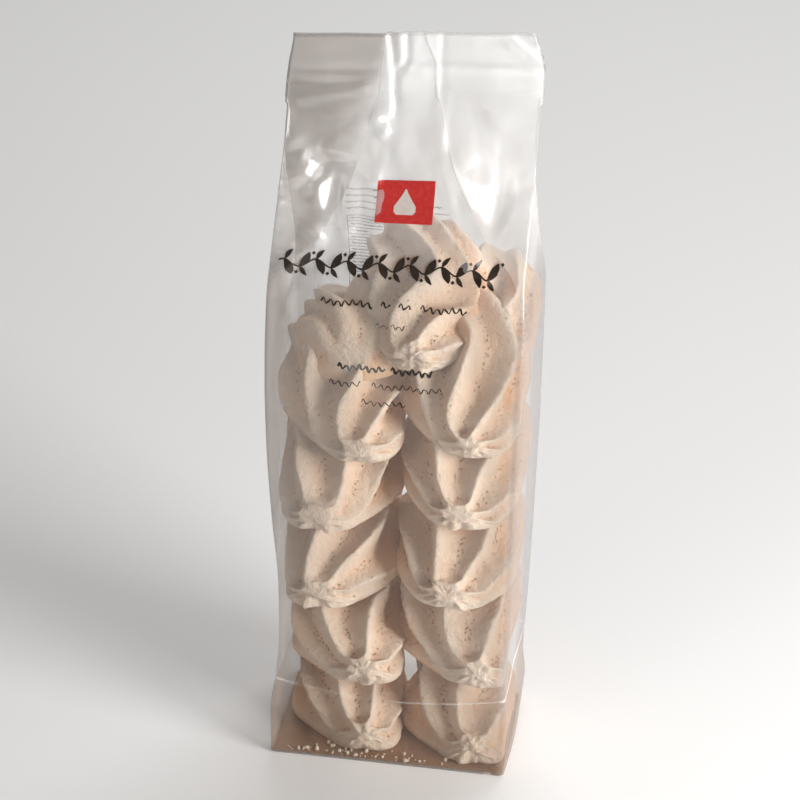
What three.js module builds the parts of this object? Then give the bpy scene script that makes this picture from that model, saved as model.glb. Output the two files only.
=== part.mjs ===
// A clear film bag of the block-bottom kind, filled, heat-sealed and standing up.
// It is one sealed pack, so it is one closed solid out to the film's outer face.
// Millimetres. +Z is up, the printed front faces -Y, and the origin is the middle
// of the flat base. The pack is the same from behind: half a turn about Z maps it
// onto itself, so its box is centred on the origin.

import * as THREE from 'three';

// Driving dimensions.
const HEIGHT = 318;              // base to the cut top edge
const BASE_WIDTH = 100;          // across the front, at the base
const BODY_WIDTH = 105;          // across the front, where the contents fill it
const WAIST_WIDTH = 97;          // at the crease that the folded bottom leaves
const TOP_WIDTH = 93;            // across the sealed fin
const BASE_DEPTH = 64;           // front panel to back panel, at the base
const BODY_DEPTH = 65;           // front to back, where the contents fill it
const WAIST_HEIGHT = 42;         // height of the bottom's crease
const FILL_HEIGHT = 212;         // where the panels start to lean together
const FIN_HEIGHT = 292;          // where they meet and the flat fin starts
const FIN_THICKNESS = 2.4;       // front film, folded gussets and back film
const SEAL_HEIGHT = 301;         // middle of the heat seal
const SEAL_THICKNESS = 1.4;      // pressed thinner than the fin
const SEAL_BAND = 4;             // how tall the pressed band is
const FIN_TWIST = 11.5;          // degrees the fin turns about Z against the base
const GUSSET_FOLD = 20;          // how far a side panel folds in above the contents
const CORNER_RADIUS = 3;         // upright edges
const BASE_FOLD = 1.2;           // rounding of the folded edge round the base
const PUFF = 1.1;                // how far one piece of the contents pushes the film
const ROW_PITCH = 34;            // height of one row of the contents
const FIRST_ROW = 20;            // height of the middle of the lowest row

// Mesh fineness.
const RING_STEP = 8;             // between rings up the body
const PANEL_STEPS = 12;          // across the front or the back
const GUSSET_STEPS = 8;          // across a side
const CORNER_STEPS = 3;          // round an upright edge

// A smooth curve through a few [height, value] stops, level at each stop.
function eased(stops) {
  return (z) => {
    const next = stops.findIndex(([height]) => height >= z);
    if (next <= 0) return stops.at(next)[1];
    const [[lowZ, low], [highZ, high]] = [stops[next - 1], stops[next]];
    return THREE.MathUtils.lerp(low, high, THREE.MathUtils.smoothstep(z, lowZ, highZ));
  };
}

// Heights worked out from the above.
const FULL_HEIGHT = (WAIST_HEIGHT + FILL_HEIGHT) / 2 + ROW_PITCH;   // fully as wide as BODY_WIDTH
const SHOULDER_HEIGHT = (FILL_HEIGHT + FIN_HEIGHT) / 2;             // gussets folded in furthest

const halfWidth = eased([
  [0, BASE_WIDTH / 2],
  [WAIST_HEIGHT, WAIST_WIDTH / 2],
  [FULL_HEIGHT, BODY_WIDTH / 2],
  [FILL_HEIGHT, BODY_WIDTH / 2],
  [FIN_HEIGHT, TOP_WIDTH / 2],
]);

const gussetFold = eased([
  [FILL_HEIGHT - ROW_PITCH, 0],
  [SHOULDER_HEIGHT, GUSSET_FOLD],
  [FIN_HEIGHT, 0],
]);

const twist = eased([
  [FILL_HEIGHT, 0],
  [FIN_HEIGHT, THREE.MathUtils.degToRad(FIN_TWIST)],
]);

// The panels stand apart up to the fill, lean together in nearly straight lines
// above it, and are pressed thin along the heat seal.
function halfDepth(z) {
  if (z <= WAIST_HEIGHT) {
    return THREE.MathUtils.lerp(BASE_DEPTH / 2, BODY_DEPTH / 2, z / WAIST_HEIGHT);
  }
  if (z <= FILL_HEIGHT) return BODY_DEPTH / 2;
  if (z < FIN_HEIGHT) {
    const lean = (z - FILL_HEIGHT) / (FIN_HEIGHT - FILL_HEIGHT);
    const eye = (1 - lean) * (1 + 0.5 * lean);
    return THREE.MathUtils.lerp(FIN_THICKNESS / 2, BODY_DEPTH / 2, eye);
  }
  return (Math.abs(z - SEAL_HEIGHT) < SEAL_BAND / 2 ? SEAL_THICKNESS : FIN_THICKNESS) / 2;
}

// The push of the contents on a broad panel: one low bump for each piece, two to a row.
function puff(x, z) {
  const up = Math.cos((2 * Math.PI * (z - FIRST_ROW)) / ROW_PITCH);
  const across = Math.sin((2 * Math.PI * Math.abs(x)) / BODY_WIDTH);
  const inBody = THREE.MathUtils.smoothstep(z, 0, ROW_PITCH / 2)
    * (1 - THREE.MathUtils.smoothstep(z, FILL_HEIGHT - ROW_PITCH, FILL_HEIGHT));
  return PUFF * inBody * across * Math.max(0, up);
}

// Half of the level outline at height z, anticlockwise from above: the front panel,
// the upright edge on its right, the right side panel and the edge behind it. The
// other half is the same turned by 180 degrees.
function halfSection(z, inset) {
  const w = halfWidth(z) - inset;
  const d = halfDepth(z) - inset;
  const r = Math.min(CORNER_RADIUS, d * 0.8);
  const points = [];
  for (let i = 0; i < PANEL_STEPS; i += 1) {
    const x = THREE.MathUtils.lerp(-w + r, w - r, i / PANEL_STEPS);
    points.push(new THREE.Vector2(x, -d - puff(x, z)));
  }
  const corner = (y, start) => {
    for (let i = 0; i < CORNER_STEPS; i += 1) {
      const angle = start + (Math.PI / 2) * (i / CORNER_STEPS);
      points.push(new THREE.Vector2(w - r + r * Math.cos(angle), y + r * Math.sin(angle)));
    }
  };
  corner(-d + r, -Math.PI / 2);
  for (let i = 0; i < GUSSET_STEPS; i += 1) {
    const across = i / GUSSET_STEPS;
    const folded = gussetFold(z) * (1 - Math.abs(2 * across - 1));
    points.push(new THREE.Vector2(w - folded, THREE.MathUtils.lerp(-d + r, d - r, across)));
  }
  corner(d - r, 0);
  return points;
}

function ring(z, inset = 0) {
  const half = halfSection(z, inset);
  const outline = [...half, ...half.map((p) => p.clone().negate())];
  const middle = new THREE.Vector2();
  return outline.map((p) => p.rotateAround(middle, twist(z))).map((p) => [p.x, p.y, z]);
}

function ringHeights() {
  const heights = [];
  const rise = (from, to, step) => {
    const count = Math.round((to - from) / step);
    for (let i = 0; i < count; i += 1) heights.push(from + ((to - from) * i) / count);
  };
  rise(BASE_FOLD, FIN_HEIGHT, RING_STEP);
  heights.push(FIN_HEIGHT);
  const [low, high] = [SEAL_HEIGHT - SEAL_BAND / 2, SEAL_HEIGHT + SEAL_BAND / 2];
  heights.push(low - 1, low + 0.5, high - 0.5, high + 1, HEIGHT);
  return heights;
}

// The rings joined into a wall, with a flat fan at each end.
function loft(rings) {
  const count = rings[0].length;
  const positions = rings.flat(2);
  const index = [];
  for (let level = 0; level + 1 < rings.length; level += 1) {
    for (let i = 0; i < count; i += 1) {
      const a = level * count + i;
      const b = level * count + ((i + 1) % count);
      index.push(a, b, b + count, a, b + count, a + count);
    }
  }
  const fan = (level, upward) => {
    const middle = positions.length / 3;
    positions.push(0, 0, rings[level][0][2]);
    for (let i = 0; i < count; i += 1) {
      const a = level * count + i;
      const b = level * count + ((i + 1) % count);
      index.push(middle, ...(upward ? [a, b] : [b, a]));
    }
  };
  fan(0, false);
  fan(rings.length - 1, true);
  const geometry = new THREE.BufferGeometry();
  geometry.setAttribute('position', new THREE.Float32BufferAttribute(positions, 3));
  geometry.setIndex(index);
  geometry.computeVertexNormals();
  return geometry;
}

function bag() {
  const rings = [ring(0, BASE_FOLD), ...ringHeights().map((z) => ring(z))];
  const film = new THREE.MeshStandardMaterial({
    color: 0xd2bfae,
    roughness: 0.25,
    metalness: 0,
    transparent: true,
    opacity: 0.6,
  });
  const mesh = new THREE.Mesh(loft(rings), film);
  mesh.name = 'bag';
  return mesh;
}

const pack = new THREE.Group();
pack.add(bag());

export default pack;
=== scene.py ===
"""A sealed clear film bag of piped meringue shells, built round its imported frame.

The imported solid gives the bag's size and place. Here it is replaced by the film
itself, the shells inside it and the print on its front and back.
Shapes are worked out in millimetres and become metres when a mesh is made.
"""

import math

import bpy
import numpy as np
from mathutils import Matrix, Vector, noise


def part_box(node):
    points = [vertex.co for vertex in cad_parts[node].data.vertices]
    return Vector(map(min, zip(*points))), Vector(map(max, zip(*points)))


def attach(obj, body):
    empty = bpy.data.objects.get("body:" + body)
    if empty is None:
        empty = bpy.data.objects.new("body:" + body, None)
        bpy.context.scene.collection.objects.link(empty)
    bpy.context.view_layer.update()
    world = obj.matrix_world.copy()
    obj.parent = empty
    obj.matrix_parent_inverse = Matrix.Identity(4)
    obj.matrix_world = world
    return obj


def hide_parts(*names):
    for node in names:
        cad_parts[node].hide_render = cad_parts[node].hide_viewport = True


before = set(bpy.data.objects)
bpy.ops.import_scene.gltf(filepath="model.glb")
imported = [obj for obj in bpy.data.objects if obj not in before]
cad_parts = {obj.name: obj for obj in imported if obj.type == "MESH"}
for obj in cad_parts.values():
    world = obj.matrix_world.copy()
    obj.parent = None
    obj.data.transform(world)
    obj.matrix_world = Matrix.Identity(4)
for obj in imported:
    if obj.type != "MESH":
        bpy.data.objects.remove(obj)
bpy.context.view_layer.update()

MM = 0.001
BAG_HIGH = np.array(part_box("bag")[1]) / MM
HALF_WIDTH = BAG_HIGH[0]                 # widest place of the filled bag
HALF_DEPTH = BAG_HIGH[1]                 # deepest place, at a bulge
TOP = BAG_HIGH[2]                        # the cut edge of the fin

# Heights on the bag.
WAIST = 42                               # crease left by the folded bottom
FILL = 205                               # where front and back start to lean together
FIN = 296                                # where they meet
SEAL = 304                               # middle of the heat seal
FIN_TWIST = math.radians(11.5)           # how far the fin turns against the base
FILM_GAP = 0.7                           # what is inside keeps this far from the film
GIVE = 5.0                               # how softly it is pressed back, in square mm
INK_LIFT = 0.12                          # print lies this far outside the film's plain face


# ---------------------------------------------------------------- shape helpers

def curve_through(*stops):
    """A smooth curve through (place, value) stops, never swinging past a stop."""
    at, value = (np.array(side, float) for side in zip(*stops))
    rise = np.diff(value) / np.diff(at)
    slope = np.zeros(len(at))
    same = rise[1:] * rise[:-1] > 0
    slope[1:-1][same] = 2 * (rise[1:] * rise[:-1])[same] / (rise[1:] + rise[:-1])[same]

    def read(place):
        place = np.clip(place, at[0], at[-1])
        k = np.clip(np.searchsorted(at, place) - 1, 0, len(at) - 2)
        span = at[k + 1] - at[k]
        t = (place - at[k]) / span
        start = value[k] * (1 + 2 * t) * (1 - t) ** 2 + span * slope[k] * t * (1 - t) ** 2
        end = value[k + 1] * (3 - 2 * t) * t**2 + span * slope[k + 1] * t**2 * (t - 1)
        return start + end

    return read


def step_up(low, high, value):
    """0 below low, 1 above high, smooth between."""
    t = np.clip((value - low) / (high - low), 0, 1)
    return t * t * (3 - 2 * t)


def window(low, high, value, soft):
    """1 between low and high, fading to 0 over soft on each side."""
    return step_up(low - soft, low, value) * (1 - step_up(high, high + soft, value))


def rough(points, size, seed, octaves=2):
    """Smooth noise, about -1 to 1, at each point. size is its coarsest lump in mm."""
    shift = Vector((seed * 7.3, seed * 3.1, seed * 5.7))
    out = np.zeros(len(points))
    for i, point in enumerate(points):
        at = Vector(point) / size + shift
        weight = 1.0
        for _ in range(octaves):
            out[i] += weight * noise.noise(at)
            at = at * 2.1
            weight *= 0.5
    return out


def crumple(points, size, seed):
    """Facets with sharp ridges between them, 0 to about 1, as stiff film creases."""
    shift = Vector((seed * 4.7, seed * 9.1, seed * 2.3))
    out = np.empty(len(points))
    for i, point in enumerate(points):
        near = noise.voronoi(Vector(point) / size + shift)[0]
        out[i] = near[1] - near[0]
    return out


# ------------------------------------------------------------- the bag's surface

front_depth = curve_through(
    (0, 32), (WAIST, 31.4), (100, 32.4), (190, 32.2), (FILL + 8, 30.6), (235, 25.6),
    (258, 17), (277, 8.2), (288, 3.6), (FIN, 1.4), (SEAL, 0.9), (TOP, 0.9))
back_depth = curve_through(
    (0, 32), (WAIST, 31.2), (110, 32.5), (195, 32), (FILL + 12, 30), (238, 24.5),
    (262, 15.2), (280, 6.6), (289, 3), (FIN, 1.4), (SEAL, 0.9), (TOP, 0.9))
front_left = curve_through(
    (0, -49.8), (22, -50), (WAIST, -47.6), (62, -46.4), (84, -46.6), (118, -49.5), (150, -51.6),
    (180, -52.3), (235, -52.3), (256, -52), (276, -50.6), (293, -49), (SEAL, -48), (TOP, -46))
front_right = curve_through(
    (0, 49.8), (18, 50), (WAIST, 49), (80, 49.6), (120, 50), (170, 50.8), (205, 50.6), (232, 48.6),
    (255, 48.4), (275, 49.4), (SEAL, 50.4), (TOP, 46.6))
back_left = curve_through(
    (0, -49.8), (20, -50), (WAIST, -47.8), (70, -47.2), (120, -49.6), (170, -51.5), (235, -51.6),
    (256, -51), (276, -50), (293, -49), (SEAL, -48), (TOP, -46))
back_right = curve_through(
    (0, 49.8), (13, 51), (27, 49.8), (48, 50.6), (110, 51.6), (147, 52), (205, 52), (222, 50.6),
    (240, 49.6), (275, 49.8), (SEAL, 50.4), (TOP, 46.6))
fold_left = curve_through(
    (0, 0), (26, 0.4), (WAIST, 2.6), (60, 0.6), (110, -0.6), (170, -0.6), (192, 0.5), (210, 7),
    (230, 17), (250, 27), (272, 33), (FIN, 36), (TOP, 35))
fold_right = curve_through(
    (0, 0), (24, 0.3), (WAIST, 2.2), (62, 0.2), (110, -0.8), (176, -0.6), (200, 1.5), (216, 8),
    (236, 22), (254, 31), (275, 38), (FIN, 42), (TOP, 43))
twist = curve_through((0, 0), (FILL, 0), (FIN, FIN_TWIST), (TOP, FIN_TWIST))


def crease(x, z, start, end, width, height):
    """A straight fold in a panel from start to end: a ridge of two flat flanks."""
    (x0, z0), (x1, z1) = start, end
    length = math.hypot(x1 - x0, z1 - z0)
    along = ((x - x0) * (x1 - x0) + (z - z0) * (z1 - z0)) / length
    across = ((x - x0) * (z1 - z0) - (z - z0) * (x1 - x0)) / length
    ends = window(0.15 * length, 0.85 * length, along, 0.25 * length)
    return height * ends * np.maximum(0, 1 - np.abs(across) / width)


def tuck(x, z, apex, left, right, depth):
    """A cone pushed into a panel: it opens from apex up towards left and right."""
    rise = (z - apex[1]) / (left[1] - apex[1])
    inside = np.clip(rise, 0, 1)
    low = apex[0] + (left[0] - apex[0]) * inside
    high = apex[0] + (right[0] - apex[0]) * inside
    middle = (low + high) / 2
    half = np.maximum((high - low) / 2, 0.5)
    bowl = np.maximum(0, 1 - np.abs(x - middle) / half)
    return -depth * bowl * step_up(0, 0.5, rise) * (1 - step_up(0.9, 1.7, rise))


# Folds in the front panel above the shells: start, end, width and height of each.
FRONT_FOLDS = [
    ((-50, 290), (-46, 276), 4, 1.8),
    ((-47, 279), (-21, 271), 4.5, 2.4),
    ((-22, 272), (-15, 261), 4.0, 1.8),
    ((-51, 263), (-38, 267), 4, 1.6),
    ((-40, 267), (-20, 270), 4.5, -2.0),
    ((-50, 258), (-36, 243), 5, 2.2),
    ((-38, 264), (-33, 238), 4.5, 1.9),
    ((-28, 266), (-26, 236), 4, -1.8),
    ((-34, 250), (-22, 243), 4, 1.6),
    ((-16, 288), (-11, 279), 3, 2.4),
    ((-18, 283), (-12, 288), 3, 1.6),
    ((-10, 292), (-14, 262), 3.5, 1.6),
    ((10, 292), (12, 262), 2.5, 1.2),
    ((12, 264), (19, 246), 3, 1.4),
    ((18, 248), (30, 232), 4, 1.8),
    ((31, 232), (45, 214), 4.5, 1.6),
    ((31, 231), (29, 206), 3.5, 1.3),
    ((40, 226), (45, 204), 3.5, 0.9),
    ((24, 290), (27, 256), 6, -0.9),
    ((-52, 216), (-38, 240), 5, 1.8),
    ((-46, 234), (-42, 208), 4, 1.5),
]
BACK_FOLDS = [
    ((-44, 288), (-30, 262), 5, 2.0),
    ((-30, 264), (-8, 252), 5, 1.9),
    ((-48, 252), (-26, 238), 5, 2.0),
    ((-6, 292), (-10, 256), 4, 1.4),
    ((20, 286), (42, 262), 5, 2.0),
    ((30, 262), (46, 240), 5, 1.9),
    ((28, 250), (32, 226), 5, 1.7),
    ((-18, 246), (-26, 220), 5, 1.7),
    ((42, 236), (34, 214), 5, 1.8),
]
# Small folds in the front by the corners of the bottom.
FOOT_FOLDS = [
    ((-48, 30), (-39, 10), 3, 1.1),
    ((-41, 32), (-45, 6), 2.5, 0.9),
    ((-36, 24), (-30, 6), 3, 0.8),
    ((46, 30), (40, 8), 3, 1.0),
    ((38, 28), (44, 10), 2.5, -0.8),
]
# Pleats and folds that cross the fin, where both panels move as one.
FIN_FOLDS = [
    ((-9.6, 322), (-7.4, 306), 2.2, 1.5),
    ((-7.6, 308), (-6.4, 286), 2.2, 1.3),
    ((-2.7, 322), (-2.3, 306), 2.0, 1.2),
    ((-2.0, 308), (-6.8, 301), 2.0, 1.1),
    ((11, 322), (11, 284), 1.6, 0.7),
    ((36, 321), (52, 306), 2.4, 1.3),
    ((34, 314), (47, 303), 2.4, -0.8),
    ((-50, 300), (-20, 297), 3.0, 0.5),
    ((-46, 292), (-16, 297), 3.5, -0.8),
]
SEAM = (13, 25)                          # the back's lengthwise seam, from and to


def lean_zone(z):
    """How free the film is to crease: not beside the shells, fully above them."""
    return step_up(196, 236, z) * (1 - 0.95 * step_up(276, FIN, z))


def front_relief(x, z):
    """How far the front panel stands out from its plain form."""
    out = sum(crease(x, z, *fold) for fold in FRONT_FOLDS)
    out = out + tuck(x, z, (33, 238), (22, 268), (47, 270), 4.0)
    out = out * (1 - step_up(FIN - 6, FIN + 1, z))
    out = out + crease(x, z, (-52, 38), (4, 29), 4, -1.1)
    out = out + crease(x, z, (-4, 29), (52, 36), 4, -1.1)
    return out + sum(crease(x, z, *fold) for fold in FOOT_FOLDS)


def back_relief(x, z):
    """The same for the back panel."""
    out = sum(crease(x, z, *fold) for fold in BACK_FOLDS)
    out = out + tuck(x, z, (-30, 236), (-44, 268), (-16, 268), 3.2)
    out = out * (1 - step_up(FIN - 6, FIN + 1, z))
    out = out + crease(x, z, (-52, 37), (52, 33), 4, -1.1)
    return out + 0.4 * window(*SEAM, x, 0.8) * (1 - step_up(FIN - 10, FIN, z))


def fin_wave(x, z):
    """How far back the whole fin stands at x, z: its pleats and a slow wave."""
    out = sum(crease(x, z, *fold) for fold in FIN_FOLDS)
    slow = 0.9 * np.sin(x * 0.085 + 0.6) + 0.5 * np.sin(x * 0.19 + z * 0.06)
    return (out + slow * 0.8) * step_up(270, 300, z)


def turned(x, y, z):
    """Points of a level section, turned as the bag twists towards its fin."""
    angle = twist(z)
    return np.stack([x * np.cos(angle) - y * np.sin(angle),
                     x * np.sin(angle) + y * np.cos(angle), z + 0 * x], axis=-1)


def on_front(x, z, lift=0.0):
    """Points on the front panel's outer face, or lift outside it."""
    return turned(x, fin_wave(x, z) - front_depth(z) - front_relief(x, z) - lift, z)


def on_back(x, z, lift=0.0):
    """Points on the back panel's outer face, or lift outside it."""
    return turned(x, fin_wave(x, z) + back_depth(z) + back_relief(x, z) + lift, z)


def ease_off(room):
    """Distance left to a wall: eased so that what would pass it flattens against it."""
    return (room + np.sqrt(room**2 + GIVE)) / 2


def keep_inside(points):
    """Presses points that reach past the film back against it."""
    x, y, z = points.T
    high = np.clip(z, 0, TOP)
    angle = -twist(high)
    x, y = x * np.cos(angle) - y * np.sin(angle), x * np.sin(angle) + y * np.cos(angle)
    front = -front_depth(high) + FILM_GAP
    back = back_depth(high) - FILM_GAP
    y = front + ease_off(y - front)
    y = back - ease_off(back - y)
    to_back = np.clip(0.5 + y / 60, 0, 1)
    left = front_left(high) * (1 - to_back) + back_left(high) * to_back
    right = front_right(high) * (1 - to_back) + back_right(high) * to_back
    squeeze = np.clip(1 - np.abs(y) / np.maximum(front_depth(high), 2), 0, 1)
    left = left + np.maximum(fold_left(high), 0) * squeeze + FILM_GAP
    right = right - np.maximum(fold_right(high), 0) * squeeze - FILM_GAP
    x = left + ease_off(x - left)
    x = right - ease_off(right - x)
    angle = -angle
    x, y = x * np.cos(angle) - y * np.sin(angle), x * np.sin(angle) + y * np.cos(angle)
    return np.stack([x, y, np.maximum(z, FILM_GAP)], axis=1)


# ---------------------------------------------------------------- mesh helpers

def mesh_piece(name, points, faces, material):
    """A mesh object at the origin from points in millimetres."""
    mesh = bpy.data.meshes.new(name)
    mesh.from_pydata([tuple(p) for p in np.asarray(points) * MM], [], faces)
    mesh.materials.append(material)
    piece = bpy.data.objects.new(name, mesh)
    bpy.context.collection.objects.link(piece)
    return piece


def pick(piece):
    """Selects one piece only and makes it active."""
    bpy.ops.object.select_all(action="DESELECT")
    piece.select_set(True)
    bpy.context.view_layer.objects.active = piece


def modify(piece, kind, **settings):
    """Adds a modifier with these settings and applies it."""
    pick(piece)
    modifier = piece.modifiers.new(kind.title(), kind)
    for key, value in settings.items():
        setattr(modifier, key, value)
    bpy.ops.object.modifier_apply(modifier=modifier.name)


def outward(piece):
    """Merges doubled points and turns every face outwards."""
    pick(piece)
    bpy.ops.object.mode_set(mode="EDIT")
    bpy.ops.mesh.select_all(action="SELECT")
    bpy.ops.mesh.remove_doubles(threshold=0.002 * MM)
    bpy.ops.mesh.normals_make_consistent(inside=False)
    bpy.ops.object.mode_set(mode="OBJECT")


def get_points(piece):
    """A piece's points in millimetres."""
    out = np.empty(len(piece.data.vertices) * 3)
    piece.data.vertices.foreach_get("co", out)
    return out.reshape(-1, 3) / MM


def set_points(piece, points):
    """Moves a piece's points to places in millimetres."""
    piece.data.vertices.foreach_set("co", (points * MM).ravel())
    piece.data.update()


def set_mark(piece, name, values):
    """Stores one number for each point, which a material can read."""
    mark = piece.data.attributes.new(name, "FLOAT", "POINT")
    mark.data.foreach_set("value", np.asarray(values, np.float32))


# ------------------------------------------------------------- material helpers

class Wire:
    """A shader socket that takes part in plain arithmetic."""

    def __init__(self, paint, socket):
        self.paint = paint
        self.socket = socket

    def math(self, operation, *values):
        return self.paint.node("ShaderNodeMath", {"operation": operation}, dict(enumerate(values)))

    def __add__(self, other):
        return self.math("ADD", self, other)

    def __sub__(self, other):
        return self.math("SUBTRACT", self, other)

    def __mul__(self, other):
        return self.math("MULTIPLY", self, other)

    def __rsub__(self, other):
        return self.math("SUBTRACT", other, self)

    def __pow__(self, other):
        return self.math("POWER", self, other)

    __radd__ = __add__
    __rmul__ = __mul__

    def clamp(self):
        """Kept between 0 and 1."""
        return self.math("MINIMUM", self.math("MAXIMUM", self, 0.0), 1.0)

    def rise(self, low, high):
        """0 below low, 1 above high, smooth between. low may be the larger."""
        settings = {"interpolation_type": "SMOOTHSTEP"}
        values = {"Value": self, "From Min": low, "From Max": high}
        return self.paint.node("ShaderNodeMapRange", settings, values)


class Paint:
    """One material and its node tree."""

    def __init__(self, name):
        self.material = bpy.data.materials.new(name)
        self.material.use_nodes = True
        self.tree = self.material.node_tree
        self.tree.nodes.clear()

    def node(self, kind, settings=None, inputs=None, output=0):
        """Adds a node: its settings first, then the values or links of its sockets."""
        made = self.tree.nodes.new(kind)
        for key, value in (settings or {}).items():
            setattr(made, key, value)
        for key, value in (inputs or {}).items():
            if isinstance(value, Wire):
                self.tree.links.new(value.socket, made.inputs[key])
            else:
                made.inputs[key].default_value = value
        return Wire(self, made.outputs[output])

    def place(self):
        """Object coordinates: metres in the bag's own frame."""
        return self.node("ShaderNodeTexCoord", output="Object")

    def mark(self, name):
        """A number stored on the mesh."""
        return self.node("ShaderNodeAttribute", {"attribute_name": name}, output="Fac")

    def noise(self, place, per_metre, detail=2.0, roughness=0.5, distortion=0.0):
        inputs = {"Vector": place, "Scale": per_metre, "Detail": detail,
                  "Roughness": roughness, "Distortion": distortion}
        return self.node("ShaderNodeTexNoise", None, inputs, "Fac")

    def cells(self, place, per_metre):
        """Distance from the middle of the nearest cell."""
        inputs = {"Vector": place, "Scale": per_metre}
        return self.node("ShaderNodeTexVoronoi", None, inputs, "Distance")

    def blend(self, factor, first, second):
        """One colour mixed into another."""
        inputs = {0: factor, 6: first, 7: second}
        return self.node("ShaderNodeMix", {"data_type": "RGBA"}, inputs, 2)

    def bump(self, height, distance, strength=1.0):
        inputs = {"Height": height, "Distance": distance, "Strength": strength}
        return self.node("ShaderNodeBump", None, inputs)

    def finish(self, shader):
        output = self.tree.nodes.new("ShaderNodeOutputMaterial")
        self.tree.links.new(shader.socket, output.inputs["Surface"])
        return self.material


# ------------------------------------------------------------------ materials

def meringue_finish():
    """Dry baked meringue: warm ivory with a browned flat base, peach in the grooves as painted warm
    shade, toasted colour with painted warm shade on the low flanks, and rows of pores darkened as
    painted shade in their holes.
    """
    paint = Paint("meringue")
    place = paint.place()
    groove_shade = paint.mark("groove_shade")
    row = paint.mark("row")
    under = paint.mark("under")
    cloud = paint.noise(place, 55, detail=3.0)
    speckle = paint.noise(place, 900, detail=3.0, roughness=0.6)
    # Peach in the grooves is painted warm shade, as light glows through shaded foam; on the low
    # flanks it is toasted colour with painted warm shade, and on the flat base it is browning; the
    # cloud varies the tone at random.
    warm = (groove_shade * 0.45 + under * 0.85 + (cloud - 0.5) * 0.7).clamp()
    colour = paint.blend(warm, (0.73, 0.60, 0.485, 1), (0.76, 0.47, 0.28, 1))
    colour = paint.blend((speckle - 0.5).rise(0.0, 0.35) * 0.35, colour, (0.80, 0.665, 0.54, 1))
    near = paint.cells(place, 620).rise(0.36, 0.2) * (row * 0.9 + 0.03)
    patch = paint.noise(place, 160, detail=1.0).rise(0.36, 0.46)
    sparse = paint.cells(place, 170).rise(0.09, 0.05)
    pits = (near * patch + sparse * 0.8).clamp()
    # The dark spots at the pores are painted shade in their holes; the bump below sinks the same
    # spots.
    colour = paint.blend(pits * 0.75, colour, (0.38, 0.18, 0.08, 1))
    grain = paint.noise(place, 1300, detail=3.0, roughness=0.65)
    lumps = paint.noise(place, 420, detail=2.0)
    height = grain * 0.45 + lumps * 0.9 - pits * 0.9
    normal = paint.bump(height, 0.0011, 1.0)
    inputs = {"Base Color": colour, "Roughness": 0.88, "Normal": normal,
              "Specular IOR Level": 0.18, "Subsurface Weight": 0.2,
              "Subsurface Scale": 0.005, "Subsurface Radius": (1.0, 0.6, 0.4)}
    return paint.finish(paint.node("ShaderNodeBsdfPrincipled", None, inputs))


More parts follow.
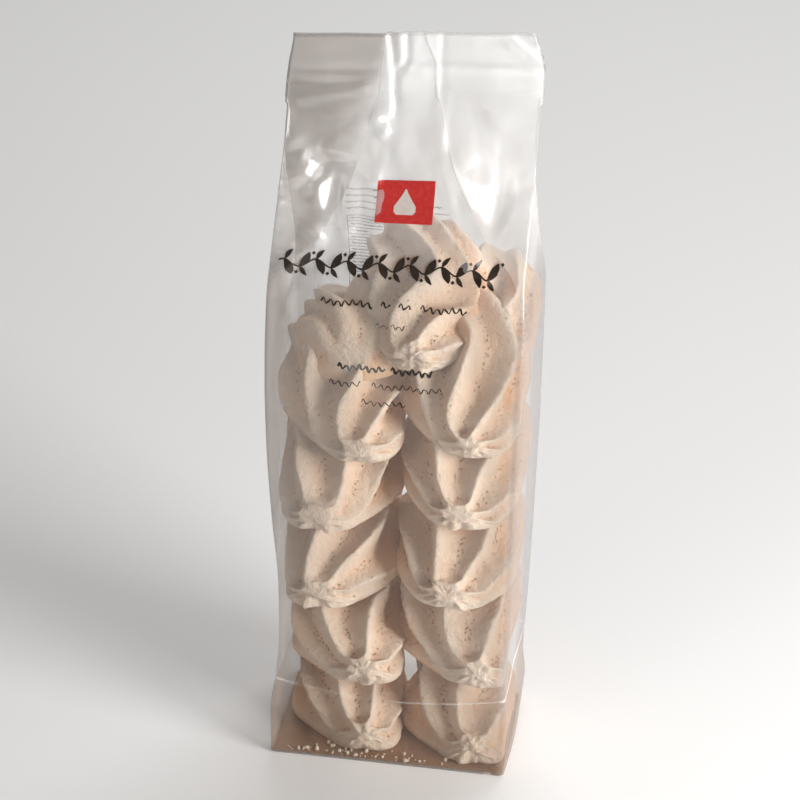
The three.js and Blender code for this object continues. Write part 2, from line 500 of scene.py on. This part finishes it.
def film_finish():
    """Clear film: a grey veil under a thin gloss, with painted reflections in the veil's colour:
    dark grey to the left above the shells and whiter towards the right, as of a dark surrounding and
    a bright light.

    It is thickest over the empty top, down both sides and round the foot, and thicker over the left
    half as painted shade. Round the foot it is painted brown, as shade with a reflection of the
    shells. A whitened line runs round it where the bottom was folded: the film's own whitening at
    the fold with a painted highlight along it.
    """
    paint = Paint("film")
    place = paint.place()
    x = paint.node("ShaderNodeSeparateXYZ", None, {0: place}, "X")
    z = paint.node("ShaderNodeSeparateXYZ", None, {0: place}, "Z")
    streak = paint.node("ShaderNodeVectorMath", {"operation": "MULTIPLY"},
                        {0: place, 1: (1.0, 1.0, 0.18)})
    cloud = paint.noise(streak, 42, detail=2.0) - 0.5
    top = z.rise(0.205, 0.245)
    # Painted reflection: above the shells the veil is dark grey left of a slanting line and white
    # right of it, as the film would mirror a dark surrounding and a bright light; lower down it
    # whitens towards the right.
    fold = x + 0.010 + (0.300 - z) * 0.38 + cloud * 0.012
    painted_bright_reflection = fold.rise(-0.010, 0.008) * top + x.rise(-0.02, 0.04) * (1 - top)
    side = x.rise(0.0455, 0.0485) * (1 - top)
    # Round the foot the veil turns brown: painted shade with a painted reflection of the shells.
    foot = z.rise(0.055, 0.01)
    colour = paint.blend(painted_bright_reflection, (0.43, 0.385, 0.355, 1), (0.95, 0.945, 0.94, 1))
    colour = paint.blend(side, colour, (0.37, 0.35, 0.345, 1))
    colour = paint.blend(foot * 0.8, colour, (0.42, 0.28, 0.19, 1))
    # The thicker veil at the left edge, over the left half and high over the shells where it is not
    # painted white is painted shade.
    amount = (top * 0.21 + 0.05 + x.rise(-0.036, -0.049) * 0.30 * (1 - top)
              + x.rise(0.005, -0.03) * z.rise(0.05, 0.12) * (1 - top) * 0.17 + side * 0.40
              + z.rise(0.14, 0.19) * (1 - painted_bright_reflection) * 0.08 + foot * 0.06 + cloud * 0.06)
    # Along the crease of the folded bottom the veil is whitened: the film's own whitening at the
    # fold, with a painted highlight along it.
    bent = paint.node("ShaderNodeMath", {"operation": "ABSOLUTE"}, {0: z - x * x * 2.6 - 0.0318})
    amount = amount + bent.rise(0.0007, 0.0) * (cloud * 1.4 + 0.12)
    colour = paint.blend(bent.rise(0.0010, 0.0003), colour, (0.95, 0.93, 0.91, 1))
    wrinkle = paint.noise(streak, 150, detail=3.0, distortion=0.4)
    fine = paint.noise(place, 60, detail=2.0)
    normal = paint.bump(wrinkle * 0.35 + fine, 0.0011, 0.5)
    veil_shader = paint.node("ShaderNodeBsdfPrincipled", None, {
        "Base Color": colour, "Roughness": 0.5, "Normal": normal, "Specular IOR Level": 0.3})
    clear = paint.node("ShaderNodeBsdfTransparent")
    body = paint.node("ShaderNodeMixShader", None, {0: amount.clamp(), 1: clear, 2: veil_shader})
    mirror = paint.node("ShaderNodeBsdfAnisotropic", None,
                        {"Color": (1, 1, 1, 1), "Roughness": 0.26, "Normal": normal})
    edge = paint.node("ShaderNodeLayerWeight", None, {"Blend": 0.5, "Normal": normal}, "Facing")
    shine = edge**4 * 0.2 + top * 0.05 + 0.045
    shader = paint.node("ShaderNodeMixShader", None, {0: shine, 1: body, 2: mirror})
    return paint.finish(shader)


def flap_finish():
    """The folded bottom: several layers of film, coloured brown-grey as painted shade with a painted
    reflection of the shells.
    """
    paint = Paint("film_folded")
    cloud = paint.noise(paint.place(), 90, detail=3.0)
    # The brown tint and brown veil are painted shade inside the bag's foot with a painted reflection
    # of the shells.
    clear = paint.node("ShaderNodeBsdfTransparent", None, {"Color": (0.81, 0.61, 0.45, 1)})
    veil = paint.node("ShaderNodeBsdfPrincipled", None, {
        "Base Color": (0.48, 0.30, 0.18, 1), "Roughness": 0.35,
        "Normal": paint.bump(cloud, 0.0008, 0.5)})
    return paint.finish(paint.node("ShaderNodeMixShader", None,
                                   {0: cloud * 0.3 + 0.25, 1: clear, 2: veil}))


def ink_finish(name, colour, other):
    """Printed ink: an even colour with a faint mottle, glossy as the film it lies on."""
    paint = Paint(name)
    place = paint.place()
    mottle = paint.noise(place, 700, detail=2.0)
    normal = paint.bump(paint.noise(place, 240), 0.0002, 0.3)
    inputs = {"Base Color": paint.blend(mottle.rise(0.35, 0.75), colour, other),
              "Roughness": mottle * 0.15 + 0.3, "Normal": normal, "Specular IOR Level": 0.35}
    return paint.finish(paint.node("ShaderNodeBsdfPrincipled", None, inputs))


def floor_finish():
    """A pale matt floor."""
    paint = Paint("floor")
    place = paint.place()
    tone = paint.blend(paint.noise(place, 3.0), (0.91, 0.91, 0.91, 1), (0.93, 0.93, 0.93, 1))
    inputs = {"Base Color": tone, "Roughness": 0.9, "Specular IOR Level": 0.1}
    return paint.finish(paint.node("ShaderNodeBsdfPrincipled", None, inputs))


# ------------------------------------------------------------- meringue shells

SHELL_AROUND = 168                       # points round a shell
SHELL_ALONG = 112                        # points from its tail to its heel
WIDEST = 0.56                            # where along its length a shell is widest
TALLEST = 0.68                           # where it is tallest
RIM = 1.2                                # thickness of the foot round its flat base
TAIL_LIFT = 8.5                          # height at which the ridges meet at the tail


def shell_form(unit, size, arms, phase, sway, tail_shift, seed):
    """Turns a unit sphere whose poles lie on Y into one piped shell.

    arms is how many star-nozzle ridges cross it, phase moves them sideways and sway
    bends them along it. Gives its points, tail at the origin and base on Z = 0, how
    deep in a groove each lies, which the material paints as warm shade, how near the
    groove's middle line, and how far under: 1 on the flat base, browned in baking, and
    rising up the low flanks, which get toasted colour and painted warm shade.
    """
    width, length, height = size
    rng = np.random.default_rng(seed)
    along = (1 + unit[:, 1]) / 2
    around = np.arctan2(unit[:, 2], unit[:, 0])
    below = around < 0
    over = np.clip(around, 0, math.pi) / math.pi
    over = np.where(around < -math.pi / 2, 1.0, over)
    before = np.clip(1 - along / WIDEST, 0, 1)
    after = np.clip((along - WIDEST) / (1 - WIDEST), 0, 1)
    plan = np.where(along < WIDEST, (1 - before**2.3) ** 0.58, (1 - after**2.6) ** 0.5)
    before = np.clip(1 - along / TALLEST, 0, 1)
    after = np.clip((along - TALLEST) / (1 - TALLEST), 0, 1)
    rise = np.where(along < TALLEST, (1 - before**2.4) ** 0.64, (1 - after**2.7) ** 0.5)
    plane = np.stack([along, over, 0 * along], 1)
    rim_wave = rough(plane * (9, 3, 1), 1, seed + 3, 2)
    half = width / 2 * plan * (1 + 0.035 * rim_wave)
    crown = height * rise * (1 + 0.12 * step_up(0.35, 0.75, along))

    # How near the torn tail: 1 at the small star the ridges meet in, 0 away from it.
    lift = TAIL_LIFT * (1 - step_up(0.0, 0.10, along))
    reach = rng.uniform(6, 9)
    rough_x = half * np.cos(around)
    rough_z = np.where(below, lift, lift + crown * np.sin(around)) - TAIL_LIFT
    away = np.hypot(rough_x, rough_z * np.where(rough_z < 0, 0.75, 1.0))
    star_near = np.exp(-((away / reach) ** 4)) * (along < 0.3)
    rim_near = np.exp(-(((away - reach - 2) / 2.5) ** 2)) * (along < 0.3) * (1 - below)

    # Sharp ridges with broad round grooves between them, swaying as the nozzle moved.
    bend = rough(plane * (2.2, 1.3, 1), 1, seed, 2)
    nick = rough(plane * (16, 3, 1), 1, seed + 5, 2)
    flow = (over - 0.5) * arms + phase + sway * np.sin(along * 5.2 - 0.8) + 0.28 * bend
    flow = flow + 0.02 * nick
    ridge_number = np.round(flow).astype(int) % 40
    groove_number = np.floor(flow).astype(int) % 40
    gap = np.abs(flow - np.round(flow))
    dip = np.clip(np.sin(math.pi * np.sqrt(gap**2 + 0.0003)), 0, 1) ** 0.8
    tall = rng.uniform(0.7, 1.3, 40)[ridge_number] * (1 + 0.25 * nick)
    deep = rng.uniform(0.8, 1.2, 40)[groove_number]
    heel = step_up(0.42, 0.78, along)
    off_rim = step_up(0.0, 0.07, np.minimum(over, 1 - over))
    spread = (1 - star_near) * step_up(0.0, 0.045, along) * (1 - step_up(0.93, 1.0, along))
    sharp = 0.10 * tall * (1 - dip) - 0.26 * deep * dip
    rounded = 0.03 * tall - 0.16 * deep * np.sin(math.pi * gap) ** 2
    relief = sharp + (rounded - sharp) * heel
    radius = 1 + spread * off_rim * relief - 0.05 * rim_near

    # The points of the star are uneven and spread downwards.
    turn = np.stack([np.cos(around), np.sin(around), along * 6], 1)
    count = rng.integers(6, 10)
    star = (around / (2 * math.pi) * count + 0.35 * rough(turn * 1.2, 1, seed + 7, 2)) % count
    rib = 1 - np.abs(2 * (star - np.floor(star)) - 1)
    rib = rib * rng.uniform(0.3, 1.2, 40)[np.floor(star).astype(int)]
    pull = star_near * step_up(1.5, 6, away) * (rib - 0.35) * np.where(rough_z < 0, 1.2, 0.6)
    foot = step_up(0.0, 0.085, along) * (1 - step_up(0.085, 0.26, along))
    front = step_up(0.1, 1.0, -np.sin(around))

    x = radius * half * np.sign(np.cos(around)) * np.abs(np.cos(around)) ** 0.92
    z = RIM + radius * crown * np.abs(np.sin(np.clip(around, 0, math.pi))) ** 0.85
    z = np.where(below, RIM * (1 - step_up(0.0, 0.16, -np.sin(around))), z) + lift
    x = x * (1 + 0.30 * pull)
    y = along * length - 3.2 * pull - 0.8 * star_near - front * foot * 3.5
    x = x + tail_shift * (1 - step_up(0, 0.42, along))
    points = np.stack([x, y, z], 1)

    lump = rough(points, 17, seed + 11, 2)
    bubble = rough(points, 5.2, seed + 37, 2)
    knob = rough(points, 2.6, seed + 51, 1)
    swell = lump + bubble * (0.4 + 1.3 * star_near) + knob * (0.15 + 0.8 * star_near)
    normal = np.stack([np.cos(around) * 0.9, (along - 0.5) * 0.6, np.abs(np.sin(around))], 1)
    normal[:, 1] -= star_near
    normal[:, 2] *= np.where(below, 0.0, 1.0)
    normal /= np.linalg.norm(normal, axis=1)[:, None] + 1e-6
    points = points + normal * (swell * np.where(below, star_near, 1.0))[:, None]
    flat = below & (along > 0.1)
    points[:, 2] = np.where(flat, points[:, 2] + 0.5 * (lump + 0.4 * bubble), points[:, 2])
    # How deep in a groove a point lies; the material paints this as warm shade.
    groove = dip**2 * off_rim * spread * (1 - below)
    row = step_up(0.36, 0.46, gap) * step_up(0.5, 0.8, groove)
    # Low flanks away from the tail: toasted colour together with painted warm shade where the shells
    # face each other.
    flank = (1 - step_up(0.03, 0.24, np.minimum(over, 1 - over))) * step_up(0.15, 0.4, along)
    return points, groove, row, np.where(flat, 1.0, 0.85 * flank)


def shell(name, size, tail, tilt, turn=0, roll=0, arms=4, phase=0.5, sway=0.0, tail_shift=0,
          seed=1):
    """One meringue shell: tail is the place of its tail on its base, tilt lifts its heel."""
    pick_none()
    bpy.ops.mesh.primitive_uv_sphere_add(
        segments=SHELL_AROUND, ring_count=SHELL_ALONG, radius=MM,
        rotation=(-math.pi / 2, 0, 0))
    piece = bpy.context.object
    piece.name = piece.data.name = name
    bpy.ops.object.transform_apply(location=True, rotation=True, scale=True)
    unit = get_points(piece)
    points, groove_shade, row, under = shell_form(unit, size, arms, phase, sway, tail_shift, seed)
    points[:, 0] -= tail_shift
    middle = np.array([0, size[1] * WIDEST, 0])
    rolled = Matrix.Rotation(math.radians(roll), 3, "Y")
    points = (points - middle) @ np.array(rolled).T + middle
    tilted = Matrix.Rotation(math.radians(tilt), 3, "X")
    turned_about = Matrix.Rotation(math.radians(turn), 3, "Z") @ tilted
    points = points @ np.array(turned_about).T + np.array(tail)
    set_points(piece, keep_inside(points))
    set_mark(piece, "groove_shade", groove_shade)
    set_mark(piece, "row", row)
    set_mark(piece, "under", under)
    outward(piece)
    pick(piece)
    bpy.ops.object.shade_smooth()
    piece.data.materials.append(MERINGUE)
    return piece


def pick_none():
    bpy.ops.object.select_all(action="DESELECT")


def make_shells():
    """Two columns of five shells, and three more on top of them."""
    left = [
        dict(size=(50, 63, 35), tail=(-10, -27, 1.0), tilt=6, tail_shift=12, phase=0.4, sway=0.35),
        dict(size=(55, 64, 35), tail=(-11, -28, 35.5), tilt=14, tail_shift=13, phase=0.3, sway=0.45),
        dict(size=(55, 65, 35), tail=(-31, -28, 71), tilt=20, tail_shift=-5, phase=0.6, sway=0.3),
        dict(size=(55, 66, 34), tail=(-31, -28, 108), tilt=25, tail_shift=-5, phase=0.5, sway=-0.2),
        dict(size=(55, 67, 37), tail=(-14, -26, 141), tilt=33, tail_shift=11, phase=0.6, sway=0.9),
    ]
    right = [
        dict(size=(50, 63, 36), tail=(36, -28, 1.0), tilt=6, tail_shift=12, phase=0.8, sway=0.4),
        dict(size=(57, 64, 36), tail=(37, -28, 40), tilt=15, tail_shift=13, phase=0.5, sway=0.4),
        dict(size=(56, 65, 36), tail=(23, -28, 77), tilt=20, tail_shift=-1, phase=0.5, sway=0.1),
        dict(size=(54, 66, 36), tail=(27, -28, 115.5), tilt=24, tail_shift=2, phase=0.5, sway=0.1),
        dict(size=(54, 67, 37), tail=(30, -25, 147.5), tilt=32, tail_shift=8, phase=0.6, sway=0.6),
    ]
    made = []
    for row, (one, other) in enumerate(zip(left, right), start=1):
        made.append(shell(f"shell_left_{row}", arms=3.9, turn=1, seed=10 + row, **one))
        made.append(shell(f"shell_right_{row}", arms=3.8, turn=-2, seed=20 + row, **other))
    made.append(shell("shell_top_front", (52, 60, 38), (6, -21, 183), 30, turn=-6, roll=-4,
                      sway=0.9, tail_shift=3, seed=31))
    made.append(shell("shell_top_left", (48, 50, 30), (-24, 28, 182), -6, turn=186, roll=4,
                      sway=0.4, seed=32))
    made.append(shell("shell_top_right", (44, 46, 30), (24, 0, 178), 20, turn=-30, roll=0,
                      sway=0.4, seed=33))
    return made


# ------------------------------------------------------------------- the film

PANEL_STEPS = 88                         # across the front and the back
GUSSET_STEPS = 46                        # across a side panel
RING_STEP = 1.35                         # between levels
BASE_ROUND = 1.0                         # rounding of the edge round the base


def section_ring(z, inset=0.0):
    """The film's level outline at height z, anticlockwise from above, from front left."""
    across = np.arange(PANEL_STEPS) / PANEL_STEPS
    side = np.arange(GUSSET_STEPS) / GUSSET_STEPS
    fl, fr, br, bl = (edge(z) for edge in (front_left, front_right, back_right, back_left))
    front_x = fl + (fr - fl) * across
    front_y = -(front_depth(z) + front_relief(front_x, z + 0 * front_x))
    back_x = br + (bl - br) * across
    back_y = back_depth(z) + back_relief(back_x, z + 0 * back_x)
    fold = 1 - np.abs(2 * side - 1)
    bulge = np.sin(np.pi * side) * (1 - step_up(150, 205, z))
    right_y = -front_depth(z) + (front_depth(z) + back_depth(z)) * side
    right_x = fr + (br - fr) * side - fold_right(z) * fold + 1.2 * bulge
    left_y = back_depth(z) - (front_depth(z) + back_depth(z)) * side
    left_x = bl + (fl - bl) * side + fold_left(z) * fold - 0.6 * bulge
    x = np.concatenate([front_x, right_x, back_x, left_x])
    y = np.concatenate([front_y, right_y, back_y, left_y])
    soft = 2 if z < FIN - 6 else 0
    for _ in range(soft):
        x = (np.roll(x, 1) + 2 * x + np.roll(x, -1)) / 4
        y = (np.roll(y, 1) + 2 * y + np.roll(y, -1)) / 4
    y = y * (1 - inset / 32) + fin_wave(x, z + 0 * x)
    return turned(x * (1 - inset / 50), y, z + 0 * x)


def make_film():
    """The bag: front, back, two gussets and a flat bottom in one skin."""
    count = int(round((TOP - BASE_ROUND) / RING_STEP))
    heights = BASE_ROUND + (TOP - BASE_ROUND) * np.arange(count + 1) / count
    rings = [section_ring(0.0, BASE_ROUND)] + [section_ring(z) for z in heights]
    points = np.concatenate(rings)
    ring = len(rings[0])

    z = points[:, 2]
    free = lean_zone(z)
    facet = crumple(points * (1, 0.6, 0.75), 17, 3)
    finer = crumple(points * (1, 0.6, 0.8), 8, 5)
    wave = rough(points * (1, 1, 0.35), 22, 8, 2)
    left = 0.55 + 0.45 * (1 - step_up(-20, 15, points[:, 0]))
    push = free * left * ((facet - 0.35) * 3.4 + (finer - 0.3) * 0.5)
    push += wave * (0.35 + 0.5 * free) * step_up(4, 30, z) * (1 - step_up(FIN - 16, FIN - 2, z))
    outwards = np.where(points[:, 1] < 0, -1.0, 1.0)
    panel = np.minimum(1, np.abs(points[:, 1]) / 6) * step_up(2, 10, z)
    points[:, 1] += outwards * push * panel
    points[:, 0] += wave * 0.5 * free * (1 - step_up(FIN - 14, FIN, z))
    points[:, 0] = np.clip(points[:, 0], -HALF_WIDTH + 0.1, HALF_WIDTH - 0.1)
    points[:, 1] = np.clip(points[:, 1], -HALF_DEPTH + 0.1, HALF_DEPTH - 0.1)
    seal = np.exp(-(((z - SEAL) / 1.6) ** 2))
    ripple = np.sin(z * 4.2) * seal * 0.12
    points[:, 1] += outwards * (ripple - 0.35 * seal) * (z > FIN)

    levels = len(rings)
    faces = []
    for level in range(levels - 1):
        for i in range(ring):
            a, b = level * ring + i, level * ring + (i + 1) % ring
            faces.append((a, b, b + ring, a + ring))
    faces.append(tuple(range(ring - 1, -1, -1)))
    top = (levels - 1) * ring
    piece = mesh_piece("film", points, faces, FILM)
    close_fin(piece, top, ring)
    pick(piece)
    bpy.ops.object.shade_smooth()
    return piece


def close_fin(piece, top, ring):
    """Closes the fin's cut edge with one face, then splits that into triangles."""
    pick(piece)
    bpy.ops.object.mode_set(mode="EDIT")
    bpy.ops.mesh.select_mode(type="VERT")
    bpy.ops.mesh.select_all(action="DESELECT")
    bpy.ops.object.mode_set(mode="OBJECT")
    for i in range(ring):
        piece.data.vertices[top + i].select = True
    bpy.ops.object.mode_set(mode="EDIT")
    bpy.ops.mesh.edge_face_add()
    bpy.ops.mesh.quads_convert_to_tris()
    bpy.ops.object.mode_set(mode="OBJECT")


def make_flaps():
    """The folded bottom: two corner folds, then a back and a front flap over them."""
    outlines = [
        ([(-49, -30), (-20, 0), (-49, 30)], 0.5),
        ([(49, 30), (20, 0), (49, -30)], 0.5),
        ([(-49, 30.5), (-18, -3), (18, -3), (49, 30.5)], 0.85),
        ([(-49, -30.5), (49, -30.5), (18, 3.5), (-18, 3.5)], 1.2),
    ]
    points, faces = [], []
    for outline, height in outlines:
        start = len(points)
        points += [(x, y, height) for x, y in outline]
        faces.append(tuple(start + i for i in range(len(outline))))
    piece = mesh_piece("base_flaps", np.array(points, float), faces, FOLDED)
    modify(piece, "SOLIDIFY", thickness=0.12 * MM, offset=0)
    return piece


def make_crumbs():
    """Crumbs broken off the shells, fallen along the front of the bottom."""
    pick_none()
    bpy.ops.mesh.primitive_ico_sphere_add(subdivisions=2, radius=MM)
    piece = bpy.context.object
    piece.name = "crumbs"
    unit = get_points(piece)
    own_faces = [tuple(face.vertices) for face in piece.data.polygons]
    bpy.data.objects.remove(piece)
    rng = np.random.default_rng(5)
    points, faces = [], []
    for i in range(70):
        size = rng.uniform(0.3, 0.55) if i % 4 else rng.uniform(0.6, 1.1)
        lump = unit * size * rng.uniform(0.7, 1.2, 3)
        lump = lump * (1 + 0.25 * rough(lump, 0.7, 60 + i, 1))[:, None]
        place = (rng.triangular(-44, -22, 30), rng.triangular(-30.5, -29.5, -22), size * 0.7 + 1.3)
        faces += [tuple(len(points) + k for k in face) for face in own_faces]
        points += list(lump + place)
    piece = mesh_piece("crumbs", np.array(points), faces, MERINGUE)
    pick(piece)
    bpy.ops.object.shade_smooth()
    return piece


# ------------------------------------------------------------------- the print

def ribbon(points, widths):
    """A flat tapered band along points: its outline's points and faces."""
    points = np.asarray(points, float)
    ahead = np.gradient(points, axis=0)
    ahead /= np.linalg.norm(ahead, axis=1)[:, None]
    side = np.stack([-ahead[:, 1], ahead[:, 0]], 1) * (np.asarray(widths) / 2)[:, None]
    out = np.concatenate([points + side, points - side])
    count = len(points)
    faces = [(i, i + count, i + 1 + count, i + 1) for i in range(count - 1)]
    return out, faces


def printed(name, shapes, surface, lift, material):
    """Flat shapes laid on the bag as one thin piece of ink."""
    points, faces = [], []
    for outline, own_faces in shapes:
        start = len(points)
        points += list(outline)
        faces += [tuple(start + i for i in face) for face in own_faces]
    flat = np.array(points)
    piece = mesh_piece(name, surface(flat[:, 0], flat[:, 1], lift), faces, material)
    outward(piece)
    modify(piece, "SOLIDIFY", thickness=0.05 * MM, offset=0)
    pick(piece)
    bpy.ops.object.shade_smooth_by_angle(angle=math.radians(40))
    return piece


def patch(x0, x1, z0, z1, keep=None, steps=1.0):
    """A rectangle as a grid of small faces. keep(x, z) says which of them stay."""
    nx = max(1, int(round((x1 - x0) / steps)))
    nz = max(1, int(round((z1 - z0) / steps)))
    xs, zs = np.linspace(x0, x1, nx + 1), np.linspace(z0, z1, nz + 1)
    points = [(x, z) for z in zs for x in xs]
    faces = []
    for j in range(nz):
        for i in range(nx):
            middle = ((xs[i] + xs[i + 1]) / 2, (zs[j] + zs[j + 1]) / 2)
            if keep is None or keep(*middle):
                a = j * (nx + 1) + i
                faces.append((a, a + 1, a + nx + 2, a + nx + 1))
    return points, faces


def leaf(x, z, height, slant, width, bend=0.0):
    """A slender pointed leaf standing at x, z."""
    t = np.linspace(0, 1, 13)
    spine = np.stack([x + slant * t + bend * np.sin(math.pi * t), z + height * t], 1)
    return ribbon(spine, width * np.sin(math.pi * np.clip(t, 0.03, 0.97)) ** 0.8)


def lozenge(x, z, half_width, half_height):
    """A berry beside the stem."""
    return ribbon([(x - half_width, z), (x, z), (x + half_width, z)],
                  [0.05, 2 * half_height, 0.05])


def wavy_line(x0, x1, z, height, pitch, width):
    """A running wave, as lines of small print look from afar."""
    t = np.linspace(0, 1, int((x1 - x0) / pitch * 8) + 2)
    x = x0 + (x1 - x0) * t
    wave = np.sin(2 * math.pi * (x - x0) / pitch) * (0.6 + 0.4 * np.sin((x - x0) * 1.7))
    return ribbon(np.stack([x, z + height / 2 * wave], 1), width * (1 + 0.3 * np.cos(x * 2.3)))


def make_front_print():
    """A red field with a cream drop, a leafy stem and lines of small waves."""
    field = [patch(-12.7, 9.5, 248, 263.4, steps=0.8)]
    red = printed("print_field", field, on_front, INK_LIFT, RED)

    def drop(x, z):
        heights = [251.2, 252.2, 254.3, 256.4, 258.3, 260.4]
        return abs(x + 1.6) < np.interp(z, heights, [3.2, 4.2, 4.1, 2.6, 1.3, 0.2])

    emblem = [patch(-7, 4, 251.2, 260.4, drop, 0.2)]
    emblem = printed("print_drop", emblem, on_front, INK_LIFT + 0.08, CREAM)

    def stem_height(x):
        return 231.4 + 1.5 * np.sin(2 * math.pi * x / 12.2)

    steps = np.linspace(-48, 37, 171)
    vine = [ribbon(np.stack([steps, stem_height(steps)], 1), 0.6 + 0 * steps)]
    for i in range(14):
        x = -46 + 6.1 * i
        z = stem_height(x)
        way = 1 if i % 2 else -1
        vine.append(leaf(x, z, way * 5.8, 3.6, 3.0, 0.6))
        vine.append(leaf(x + 0.4, z, -way * 3.8, 2.8, 1.8, -0.4))
        vine.append(lozenge(x + 5.2, z + way * 5.4, 0.8, 0.8))
    title = printed("print_vine", vine, on_front, INK_LIFT, DARK)

    # Each row: its stretches, then the height it stands at and its waves' height,
    # pitch and width.
    rows = [
        (((-30, -10), (-6.5, -3), (0.5, 5), (9, 27)), (216.4, 3.4, 2.9, 0.62)),
        (((-8, -3.2), (-2, 3.4)), (208, 2.6, 2.4, 0.36)),
        (((-22.5, -4), (-1.5, 15)), (189.2, 3.4, 2.6, 0.85)),
        (((-26, -13.5), (-9, 18.5)), (181.8, 3.2, 2.9, 0.4)),
        (((-13, 4.6),), (174.2, 3.0, 2.9, 0.4)),
    ]
    lines = [wavy_line(*stretch, *wave) for stretches, wave in rows for stretch in stretches]
    small = printed("print_lines", lines, on_front, INK_LIFT, DARK)
    return [(red, "print_red"), (emblem, "print_cream"), (title, "print_dark"),
            (small, "print_dark")]


def make_back_print():
    """A plain ruled table with a small wave in each of its cells, and lines over it."""
    left, right, low, high = -29, 13, 184, 226
    row, thin = 3.0, 0.22
    shapes = []
    for x in (left, left + 24, right):
        shapes.append(ribbon([(x, low), (x, (low + high) / 2), (x, high)], [thin] * 3))
    for i in range(int((high - low) / row) + 1):
        z = high - i * row
        xs = np.linspace(left, right, 15)
        shapes.append(ribbon(np.stack([xs, z + 0 * xs], 1), [thin] * 15))
        if z - row >= low:
            entries = ((left + 1.2, 10 + 4 * math.sin(i * 2.1)),
                       (left + 26, 6 + 2 * math.cos(i * 1.7)))
            for start, reach in entries:
                shapes.append(wavy_line(start, start + reach, z - row / 2, 0.9, 1.3, 0.28))
    for i in range(4):
        shapes.append(wavy_line(left, right - 3 * i, high + 4 + 3.4 * i, 1.2, 1.6, 0.3))
    return printed("print_table", shapes, on_back, INK_LIFT, DARK)


# ------------------------------------------------------- floor, light and camera

def make_floor():
    """The pale floor under the bag."""
    pick_none()
    bpy.ops.mesh.primitive_plane_add(size=8, location=(0, 0, 0))
    floor = bpy.context.object
    floor.name = "floor"
    floor.data.materials.append(floor_finish())


def area_light(name, place, size, power, colour=(1, 1, 1)):
    """A soft light that looks at the middle of the bag."""
    data = bpy.data.lights.new(name, "AREA")
    data.shape = "RECTANGLE"
    data.size, data.size_y = size
    data.energy = power
    data.color = colour
    lamp = bpy.data.objects.new(name, data)
    lamp.location = place
    aim = Vector((0, 0, 0.15)) - Vector(place)
    lamp.rotation_euler = aim.to_track_quat("-Z", "Y").to_euler()
    bpy.context.collection.objects.link(lamp)


def make_lights():
    """A near key on the right, a weak fill on the left and a broad light from above."""
    area_light("key", (0.84, -0.41, 0.38), (0.45, 0.45), 12.3, (1, 0.985, 0.965))
    area_light("fill", (-0.95, -1.5, 0.95), (0.5, 1.0), 3.5, (1, 0.92, 0.83))
    area_light("top", (0.2, 1.1, 1.6), (1.4, 0.8), 19)
    world = bpy.data.worlds.new("studio")
    world.use_nodes = True
    sky = world.node_tree.nodes["Background"]
    sky.inputs["Color"].default_value = (1, 0.97, 0.94, 1)
    sky.inputs["Strength"].default_value = 0.07
    bpy.context.scene.world = world
    bpy.context.scene.view_settings.view_transform = "Standard"


def make_camera():
    """Looks down on the bag's front, from a little to its right."""
    azimuth, elevation, roll = (math.radians(a) for a in (8.3, 29.0, 1.34))
    distance = 1.2
    target = Vector((-0.00235, 0, 0.1586))
    back = Vector((math.sin(azimuth) * math.cos(elevation),
                   -math.cos(azimuth) * math.cos(elevation), math.sin(elevation)))
    data = bpy.data.cameras.new("camera")
    data.sensor_width = 36
    data.lens = 133.1
    data.clip_start, data.clip_end = 0.05, 20
    camera = bpy.data.objects.new("camera", data)
    camera.location = target + back * distance
    turn = (-back).to_track_quat("-Z", "Y").to_matrix()
    camera.rotation_euler = (turn @ Matrix.Rotation(roll, 3, "Z")).to_euler()
    bpy.context.collection.objects.link(camera)
    bpy.context.scene.camera = camera


# ---------------------------------------------------------------- the whole bag

make_camera()
make_lights()
make_floor()

MERINGUE = meringue_finish()
FILM = film_finish()
FOLDED = flap_finish()
RED = ink_finish("ink_red", (0.47, 0.028, 0.025, 1), (0.53, 0.04, 0.035, 1))
CREAM = ink_finish("ink_cream", (0.60, 0.53, 0.49, 1), (0.55, 0.49, 0.45, 1))
DARK = ink_finish("ink_dark", (0.022, 0.014, 0.010, 1), (0.035, 0.024, 0.018, 1))

for shell_piece in make_shells():
    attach(shell_piece, "root")
    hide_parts("bag")

film = make_film()
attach(film, "root")
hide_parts("bag")

flaps = make_flaps()
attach(flaps, "root")

crumbs = make_crumbs()
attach(crumbs, "root")

for ink, slot in make_front_print() + [(make_back_print(), "print_dark")]:
    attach(ink, "root")
